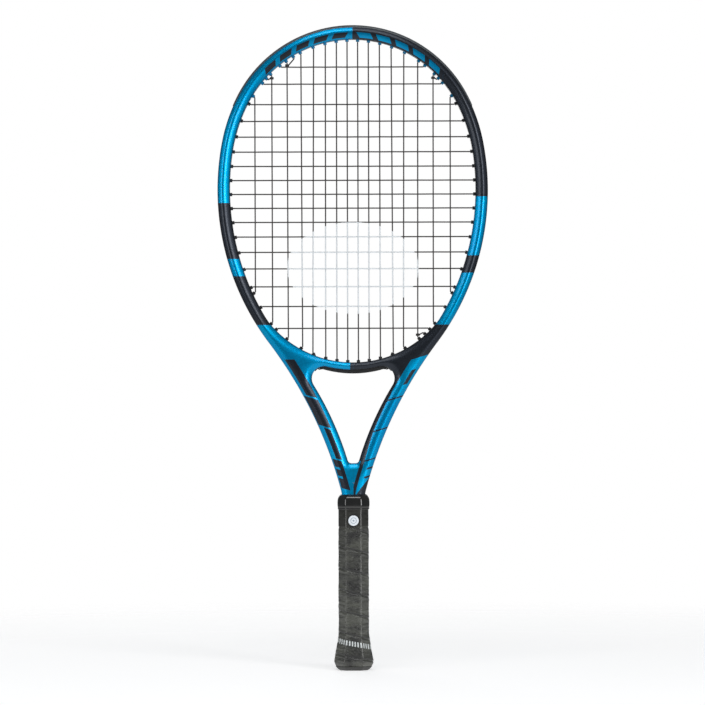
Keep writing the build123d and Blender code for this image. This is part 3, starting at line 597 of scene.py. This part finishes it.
# Flats of the octagon: (degrees round from the right side, distance from the middle).
FLATS = [
    (0, 15.0), (45, 15.45), (90, 14.0), (135, 15.45),
    (180, 15.0), (225, 15.45), (270, 14.0), (315, 15.45),
]
FLARE_TOP, FLARE_WIDEST, FLARE = 36.0, 9.6, 4.5
GRIP_LOW, GRIP_HIGH = 4.0, 160.5
TAPE_LOW, TAPE_HIGH, TAPE_SQUEEZE, TAPE_THICKNESS = 141.0, 159.5, 0.45, 0.2
WRAP_START, WRAP_PITCH, SEAM_HALF_WIDTH, SEAM_DEPTH = 9.0, 21.0, 0.7, 0.95
LIP_HEIGHT, LIP_FROM_SEAM, LIP_WIDTH, SWELL = 0.22, 1.7, 0.9, 0.06
FOLDS_ROUND, FOLDS_UP, FOLDS_SKEW, FOLD_HEIGHT = 0.07, 0.26, 0.05, 0.30
FINE_FOLDS, FINE_SHIFT, FINE_HEIGHT = 3.1, (7, 3, 1), 0.16
CREASED_ROUND, CREASED_UP = 0.05, 0.035
EDGE_ROUNDING, COLLAR_ROUNDING, WINDING_ROUNDING = 4.2, 4.4, 2.5
RING_STEP, WRAP_INSET = 0.6, 0.2
OVERLAP_FROM, OVERLAP_TO = 0.3, 0.6
DISC_Z, DISC_RING, DISC_DOT, DISC_RIM = 147.5, (2.5, 3.0), 0.9, 5.1


def ring(offset, rounding, per_face=9, per_corner=5):
    """Points and outward normals round the handle's octagon, moved out by offset."""
    ways = [np.array([cos(radians(a)), sin(radians(a))]) for a, _ in FLATS]
    corners = []
    for k, (_, half) in enumerate(FLATS):
        a, b = ways[k], ways[(k + 1) % 8]
        sides = np.array([half, FLATS[(k + 1) % 8][1]]) + offset - rounding
        corners.append(np.linalg.solve(np.array([a, b]), sides))
    points, normals = [], []
    for k in range(8):
        start, end = corners[k - 1] + ways[k] * rounding, corners[k] + ways[k] * rounding
        for step in range(per_face):
            points.append(start + (end - start) * step / per_face)
            normals.append(ways[k])
        for step in range(per_corner):
            angle = radians(FLATS[k][0] + 45 * step / per_corner)
            way = np.array([cos(angle), sin(angle)])
            points.append(corners[k] + way * rounding)
            normals.append(way)
    return np.array(points), np.array(normals)


def round_shares():
    """Share of the way round the handle of each point of a ring, from its right side."""
    points, _ = ring(0, WINDING_ROUNDING)
    steps = np.hypot(*(np.roll(points, -1, 0) - points).T)
    return np.concatenate([[0], np.cumsum(steps)[:-1]]) / steps.sum()


def arc_through(a, b, c):
    """Offset as a function of height on the circle through three (offset, height) points."""
    matrix = 2 * np.array([[b[0] - a[0], b[1] - a[1]], [c[0] - a[0], c[1] - a[1]]])
    from_a = a[0] ** 2 + a[1] ** 2
    sums = np.array([b[0] ** 2 + b[1] ** 2 - from_a, c[0] ** 2 + c[1] ** 2 - from_a])
    centre = np.linalg.solve(matrix, sums)
    radius = hypot(a[0] - centre[0], a[1] - centre[1])
    side = 1 if b[0] > centre[0] else -1
    return lambda z: centre[0] + side * sqrt(max(radius**2 - (z - centre[1]) ** 2, 0))


BUTT_END = arc_through((-1.6, 0.0), (2.9, 4.2), (FLARE, FLARE_WIDEST))
BUTT_FLARE = arc_through((FLARE, FLARE_WIDEST), (1.55, 26.0), (0.0, FLARE_TOP))


def grip_offset(z):
    if z < FLARE_WIDEST:
        return BUTT_END(z)
    if z < FLARE_TOP:
        return BUTT_FLARE(z)
    squeeze = min(max((z - TAPE_LOW + 2.5) / 2.5, 0), 1)
    return -TAPE_SQUEEZE * squeeze


def wound(z, share):
    """Height of the wrap over the plain grip: swollen turns, with a lip beside each sunken seam."""
    turn = (z - WRAP_START) / WRAP_PITCH + share
    off = abs((turn + 0.5) % 1.0 - 0.5) * WRAP_PITCH
    lip = LIP_HEIGHT * np.exp(-((off - LIP_FROM_SEAM) / LIP_WIDTH) ** 2)
    seam = -SEAM_DEPTH * np.exp(-((off / SEAM_HALF_WIDTH) ** 2))
    swell = SWELL * (1 - (2 * off / WRAP_PITCH) ** 4)
    return seam + lip + swell


def creases(place, z):
    """Creases of the thin film over the grip: small folds that run mostly round the handle."""
    x, y = place
    along = Vector((x * FOLDS_ROUND, y * FOLDS_ROUND, z * FOLDS_UP + x * FOLDS_SKEW))
    fold = noise.noise(along)
    fine = noise.noise(along * FINE_FOLDS + Vector(FINE_SHIFT))
    patch = noise.noise(Vector((x * CREASED_ROUND, y * CREASED_ROUND, z * CREASED_UP)))
    ridges = (1 - abs(fold) * 2) * FOLD_HEIGHT + fine * FINE_HEIGHT
    return ridges * (0.55 + 1.1 * max(patch, -0.3)) - 0.1


def lofted(name, material, heights, surface):
    """A smooth tube round the handle; surface(z) gives a ring's points at a height."""
    rings = [surface(z) for z in heights]
    count = len(rings[0])
    points = [tuple(p * MM) for r in rings for p in r]
    faces = []
    for row in range(len(rings) - 1):
        low, high = row * count, (row + 1) * count
        for k in range(count):
            beside = (k + 1) % count
            faces.append((low + k, low + beside, high + beside, high + k))
    mesh = bpy.data.meshes.new(name)
    mesh.from_pydata(points, [], faces)
    mesh.polygons.foreach_set("use_smooth", [True] * len(faces))
    return placed(name, mesh, material)


def grip_wrap(material):
    """The wound grip from the butt to the collar; an inset ring closes its lower end."""
    shares = round_shares()

    def surface(level):
        z, inset = level
        points, normals = ring(grip_offset(z), EDGE_ROUNDING)
        calm = min(max((TAPE_LOW - z) / 6, 0), 1) * min(1, (z - GRIP_LOW) / 3 + 0.2)
        lift = [
            (wound(z, share) + creases(place, z)) * calm - WRAP_INSET - inset
            for share, place in zip(shares, points)
        ]
        moved = points + normals * np.array(lift)[:, None]
        return np.column_stack([moved, np.full(len(moved), z)])

    heights = [(GRIP_LOW, 2.5), (GRIP_LOW, 0.5)]
    heights += [(z, 0.0) for z in np.arange(GRIP_LOW + 0.4, GRIP_HIGH, RING_STEP)]
    piece = lofted("wound_grip", material, heights, surface)
    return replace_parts(piece, "grip_wrap")


def finishing_tape(material):
    """The tape under the collar, with a slanted lower edge and a doubled part."""
    shares = round_shares()

    def surface(level):
        part, offset = level
        points, normals = ring(offset - TAPE_SQUEEZE, EDGE_ROUNDING)
        low = TAPE_LOW + 1.2 * np.abs(shares - 0.35)
        z = low + (TAPE_HIGH - low) * part
        lift = [0.05 * noise.noise(Vector((*p * 0.1, h * 0.5))) - 0.04 for p, h in zip(points, z)]
        doubled = (shares > OVERLAP_FROM) * (shares < OVERLAP_TO)
        overlap = TAPE_THICKNESS * 0.8 * doubled * (part > 0.02)
        moved = points + normals * (np.array(lift) * (part > 0) + overlap)[:, None]
        return np.column_stack([moved, z])

    levels = [(0.0, -0.1), (0.0, TAPE_THICKNESS * 0.7), (0.012, TAPE_THICKNESS)]
    levels += [(part, TAPE_THICKNESS) for part in np.linspace(0.04, 1, 26)]
    piece = lofted("grip_finishing_tape", material, levels, surface)
    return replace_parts(piece, "finishing_tape")


# Collar: (height, offset from the octagon) from its lower lip over the barrel to the shaft.
COLLAR = [
    (159.2, -0.35), (158.45, -0.1), (158.5, 0.35), (159.1, 0.5), (159.7, 0.36), (160.4, 0.52),
    (162.0, 0.74), (164.2, 0.8), (166.6, 0.72), (168.6, 0.4), (170.3, -0.3), (171.6, -1.2),
    (172.5, -2.1), (173.0, -2.9), (173.1, -3.4), (172.6, -4.2), (171.6, -4.8),
]


def grip_collar(material):
    """The rubber collar, on a smooth curve through the COLLAR points."""
    knots = [np.array(p) for p in COLLAR]
    befores, afters = [knots[0]] + knots[:-2], knots[2:] + [knots[-1]]
    levels = []
    for before, start, end, after in zip(befores, knots[:-1], knots[1:], afters):
        bend = 2 * before - 5 * start + 4 * end - after
        twist = 3 * start - before - 3 * end + after
        for t in (0, 0.25, 0.5, 0.75):
            levels.append(0.5 * (2 * start + (end - before) * t + bend * t * t + twist * t**3))

    def surface(level):
        z, offset = level
        points, _ = ring(offset, COLLAR_ROUNDING)
        return np.column_stack([points, np.full(len(points), z)])

    piece = lofted("rubber_collar", material, levels, surface)
    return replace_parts(piece, "grip_collar")


# ------------------------------------------------------------------ the other finishes

BAND_LOW, BAND_HIGH, BAND_SLANT, BAND_TICKS = 19.4, 24.2, 9.0, 36
# The first pair is the share of each turn darkened with painted shade along the grip's seam groove.
SEAM_SHADE_SPAN, MARK_SOFT = (0.462, 0.53), 0.02
OVAL_Z, OVAL_HALF_WIDTH, OVAL_HALF_HEIGHT = 396.0, 66.0, 46.0


def grip_finish():
    """Dark olive grip under a thin shiny film, with painted bevel highlights, painted seam shade,
    and a pale band of plain ticks at the butt.
    """
    finish = Finish("grip_finish", Specular_IOR_Level=0.5, Coat_Weight=0.5, Coat_Roughness=0.2)
    patch = finish.noise(finish.scaled(1, 1, 2.2), 45.0, 5.0, 0.62)
    dark, light = colour(0.004, 0.004, 0.003), colour(0.056, 0.058, 0.046)
    tone = finish.mix(finish.ramp(patch, 0.42, 0.60), dark, light)
    axes = finish.node("SeparateXYZ", {0: finish.place}).node
    height = finish.math("MULTIPLY", axes.outputs[2], TO_MM)
    turn = finish.math("ARCTAN2", axes.outputs[1], axes.outputs[0])
    every_flat = finish.math("COSINE", finish.math("MULTIPLY", turn, 4.0))
    # Painted highlight: the four diagonal bevels are made lighter, standing in for the light they
    # catch from the side.
    painted_bevel_light = finish.ramp(every_flat, -0.8, 0.4, 0.32, 0.0)
    tone = finish.mix(painted_bevel_light, tone, colour(0.13, 0.132, 0.115))
    slant = finish.math("ADD", height, finish.math("MULTIPLY", turn, BAND_SLANT / pi))
    wraps = finish.math("ADD", height, finish.math("MULTIPLY", turn, WRAP_PITCH / (2 * pi)))
    wraps = finish.math("DIVIDE", finish.math("SUBTRACT", wraps, WRAP_START), WRAP_PITCH)
    round_seam = finish.math("FRACT", finish.math("ADD", wraps, 0.5))
    # Painted shade: a near-black line along the sunken seam of each turn, standing in for the
    # shadow in the seam groove.
    seam = finish.within(round_seam, *SEAM_SHADE_SPAN, MARK_SOFT)
    tone = finish.mix(finish.math("MULTIPLY", seam, 0.85), tone, colour(0.002, 0.002, 0.002))
    steps = finish.math("FRACT", finish.math("MULTIPLY", turn, BAND_TICKS / (2 * pi)))
    ticks = finish.within(steps, 0.25, 0.75, 0.06)
    band = finish.all_of(finish.within(slant, BAND_LOW, BAND_HIGH), ticks)
    finish.set("Base_Color", finish.mix(band, tone, colour(0.62, 0.66, 0.66)))
    film = finish.noise(finish.scaled(1.0, 1.0, 3.2), 160.0, 4.0)
    finish.set("Roughness", finish.ramp(film, 0.35, 0.65, 0.22, 0.46))
    pores = finish.noise(finish.place, 1500.0, 2.0)
    crinkle = finish.noise(finish.scaled(0.6, 0.6, 2.0), 130.0, 4.0, 0.6)
    normal = finish.bump(crinkle, 0.0026, 1.0, finish.bump(pores, 0.00006, 0.5))
    finish.relief(film, 0.0007, 0.7, normal)
    return finish.material


def tape_finish():
    finish = Finish("tape_finish", Coat_Weight=0.4, Coat_Roughness=0.18)
    film = finish.noise(finish.scaled(1.0, 1.0, 2.5), 140.0, 3.0)
    dark, light = colour(0.010, 0.010, 0.008), colour(0.032, 0.032, 0.026)
    finish.set("Base_Color", finish.mix(film, dark, light))
    finish.set("Roughness", finish.ramp(film, 0.35, 0.65, 0.26, 0.42))
    finish.relief(film, 0.0003, 0.4)
    return finish.material


def collar_finish():
    finish = Finish("collar_finish", Coat_Weight=0.6, Coat_Roughness=0.04)
    smear = finish.noise(finish.place, 120.0, 3.0)
    dark, light = colour(0.006, 0.006, 0.006), colour(0.014, 0.014, 0.014)
    finish.set("Base_Color", finish.mix(smear, dark, light))
    finish.set("Roughness", finish.ramp(smear, 0.3, 0.7, 0.08, 0.2))
    finish.relief(smear, 0.0002, 0.35)
    return finish.material


def nylon(name, dark, light, roughness=0.42):
    """Moulded nylon with a faint grain."""
    finish = Finish(name, Specular_IOR_Level=0.45)
    grain = finish.noise(finish.place, 700.0, 3.0)
    finish.set("Base_Color", finish.mix(grain, colour(*dark), colour(*light)))
    finish.set("Roughness", finish.ramp(grain, 0.3, 0.7, roughness - 0.06, roughness + 0.08))
    finish.relief(grain, 0.00005, 0.5)
    return finish.material


def string_finish():
    """Dark nylon string with a plain oval of pale ink on the side that faces out."""
    finish = Finish("string_finish", Specular_IOR_Level=0.5)
    axes = finish.node("SeparateXYZ", {0: finish.place}).node
    x = finish.math("MULTIPLY", axes.outputs[0], TO_MM)
    z = finish.math("MULTIPLY", axes.outputs[2], TO_MM)
    wide = finish.math("DIVIDE", x, OVAL_HALF_WIDTH)
    tall = finish.math("DIVIDE", finish.math("SUBTRACT", z, OVAL_Z), OVAL_HALF_HEIGHT)
    wide, tall = finish.math("MULTIPLY", wide, wide), finish.math("MULTIPLY", tall, tall)
    spread = finish.math("ADD", wide, tall)
    bleed = finish.math("MULTIPLY", finish.noise(finish.place, 500.0, 2.0), 0.06)
    ragged = finish.math("ADD", spread, bleed)
    facing = finish.node("SeparateXYZ", {0: finish.node("NewGeometry", output=1)}).node
    outward = finish.math("ABSOLUTE", facing.outputs[1])
    ink = finish.all_of(finish.under(ragged, 1.0, 0.03), finish.over(outward, 0.12, 0.2))
    worn = finish.noise(finish.place, 1800.0, 2.0)
    ink = finish.math("MULTIPLY", ink, finish.ramp(worn, 0.3, 0.42, 0.55, 1.0))
    base = finish.mix(worn, colour(0.022, 0.019, 0.018), colour(0.052, 0.046, 0.043))
    finish.set("Base_Color", finish.mix(ink, base, colour(0.80, 0.84, 0.87)))
    finish.set("Roughness", finish.ramp(worn, 0.3, 0.7, 0.32, 0.5))
    finish.relief(finish.noise(finish.place, 2400.0, 1.0), 0.00003, 0.4)
    return finish.material


def disc_finish():
    """White dot with a black rim and a thin grey ring."""
    finish = Finish("disc_finish", Coat_Weight=0.6, Coat_Roughness=0.06)
    middle = (0, 0, DISC_Z * MM)
    from_middle = finish.node("VectorMath", {0: finish.place, 1: middle}, operation="SUBTRACT")
    flat = finish.node("VectorMath", {0: from_middle, 1: (1, 0, 1)}, operation="MULTIPLY")
    length = finish.node("VectorMath", {0: flat}, operation="LENGTH", output=1)
    out = finish.math("MULTIPLY", length, TO_MM)
    mottle = finish.noise(finish.place, 900.0, 2.0)
    white = finish.mix(mottle, colour(0.74, 0.80, 0.86), colour(0.86, 0.90, 0.94))
    ring_mark = finish.any_of(finish.within(out, *DISC_RING, 0.1), finish.under(out, DISC_DOT, 0.1))
    white = finish.mix(ring_mark, white, colour(0.30, 0.36, 0.42))
    rim = finish.over(out, DISC_RIM, 0.12)
    finish.set("Base_Color", finish.mix(rim, white, colour(0.01, 0.01, 0.01)))
    finish.set("Roughness", finish.ramp(mottle, 0.3, 0.7, 0.2, 0.34))
    finish.relief(mottle, 0.00003, 0.4)
    return finish.material


def steel_finish():
    finish = Finish("steel_finish", Metallic=1.0)
    draw = finish.noise(finish.scaled(1, 1, 8), 900.0, 2.0)
    finish.set("Base_Color", finish.mix(draw, colour(0.42, 0.42, 0.43), colour(0.6, 0.6, 0.61)))
    finish.set("Roughness", finish.ramp(draw, 0.3, 0.7, 0.25, 0.45))
    return finish.material


def finish_cad_nodes():
    """Gives every CAD node that stays its own material."""
    finishes = {
        "bumper_nylon": nylon("bumper_nylon", (0.060, 0.068, 0.076), (0.095, 0.106, 0.116), 0.34),
        "blue_nylon": nylon("blue_nylon", (0.0, 0.20, 0.43), (0.0, 0.26, 0.49), 0.34),
        "black_nylon": nylon("black_nylon", (0.008, 0.008, 0.009), (0.018, 0.018, 0.020)),
        "string": string_finish(),
        "pallet_foam": nylon("pallet_foam", (0.08, 0.08, 0.08), (0.13, 0.13, 0.13), 0.6),
        "butt_plastic": nylon("butt_plastic", (0.026, 0.026, 0.025), (0.045, 0.045, 0.043), 0.45),
        "steel": steel_finish(),
        "disc_white": disc_finish(),
    }
    slots = {sub["node"]: sub["material_slot"] for sub in frame["record"]["subparts"]}
    for name, node in frame["nodes"].items():
        if slots[name] in finishes:
            node.data.materials.clear()
            node.data.materials.append(finishes[slots[name]])


# ------------------------------------------------------------------ camera, light and floor

# In metres and degrees, with the lens in mm, matched to the photo.
EYE, EYE_ROLL, LENS, SENSOR = (-0.0006, -4.0, 0.3127), 0.15, 207.2, 36.0
SKY, SKY_STRENGTH = colour(0.9, 0.95, 1), 0.16
LIGHTS = [  # name, place, aimed at, size, watts
    ("key", (1.75, -2.5, 0.7), (0, 0, 0.33), (0.9, 1.9), 38),
    ("left", (-2.1, -2.2, 0.6), (0, 0, 0.33), (0.9, 1.7), 18),
    ("top", (0.0, -1.6, 2.6), (0, 0, 0.45), (1.8, 0.8), 20),
    ("back", (-0.6, 2.4, 1.2), (0, 0, 0.33), (1.6, 1.6), 9),
]
FLOOR_HALF, FLOOR_GLOW, FLOOR_FADE = 3.0, 0.55, (0.35, 1.1)


def camera():
    lens = bpy.data.cameras.new("camera")
    lens.lens, lens.sensor_width = LENS, SENSOR
    eye = bpy.data.objects.new("camera", lens)
    bpy.context.scene.collection.objects.link(eye)
    eye.location = EYE
    eye.rotation_euler = (radians(90), radians(EYE_ROLL), 0)
    bpy.context.scene.camera = eye


def soft_light(name, at, towards, size, watts):
    light = bpy.data.lights.new(name, "AREA")
    light.shape, light.size, light.size_y = "RECTANGLE", size[0], size[1]
    light.energy = watts
    lamp = bpy.data.objects.new(name, light)
    bpy.context.scene.collection.objects.link(lamp)
    lamp.location = at
    lamp.rotation_euler = (Vector(towards) - Vector(at)).to_track_quat("-Z", "Y").to_euler()


def studio():
    world = bpy.data.worlds.new("studio")
    bpy.context.scene.world = world
    world.use_nodes = True
    nodes, links = world.node_tree.nodes, world.node_tree.links
    nodes.clear()
    seen, around = nodes.new("ShaderNodeBackground"), nodes.new("ShaderNodeBackground")
    seen.inputs["Color"].default_value = (1, 1, 1, 1)
    seen.inputs["Strength"].default_value = 1.0
    around.inputs["Color"].default_value = SKY
    around.inputs["Strength"].default_value = SKY_STRENGTH
    mix, path = nodes.new("ShaderNodeMixShader"), nodes.new("ShaderNodeLightPath")
    links.new(path.outputs["Is Camera Ray"], mix.inputs[0])
    links.new(around.outputs[0], mix.inputs[1])
    links.new(seen.outputs[0], mix.inputs[2])
    links.new(mix.outputs[0], nodes.new("ShaderNodeOutputWorld").inputs["Surface"])
    bpy.context.scene.view_settings.view_transform = "Standard"
    for light in LIGHTS:
        soft_light(*light)


def pale_floor():
    """Pale ground that fades out round the racket and can't be seen from underneath."""
    finish = Finish("pale_floor", Base_Color=colour(0.86, 0.86, 0.86), Roughness=0.8)
    far = finish.node("VectorMath", {0: finish.place}, operation="LENGTH", output=1)
    finish.set("Emission_Color", colour(1, 1, 1))
    finish.set("Emission_Strength", FLOOR_GLOW)
    underneath = finish.node("NewGeometry", output=6)
    finish.set("Alpha", finish.but_not(finish.ramp(far, *FLOOR_FADE, 1.0, 0.0), underneath))
    mesh = bpy.data.meshes.new("floor")
    half = FLOOR_HALF
    corners = [(-half, -half, 0), (half, -half, 0), (half, half, 0), (-half, half, 0)]
    mesh.from_pydata(corners, [], [(0, 1, 2, 3)])
    floor = bpy.data.objects.new("floor", mesh)
    bpy.context.scene.collection.objects.link(floor)
    mesh.materials.append(finish.material)


# ------------------------------------------------------------------ the racket

frame_skin(frame_paint())
grip_wrap(grip_finish())
finishing_tape(tape_finish())
grip_collar(collar_finish())
finish_cad_nodes()
camera()
studio()
pale_floor()
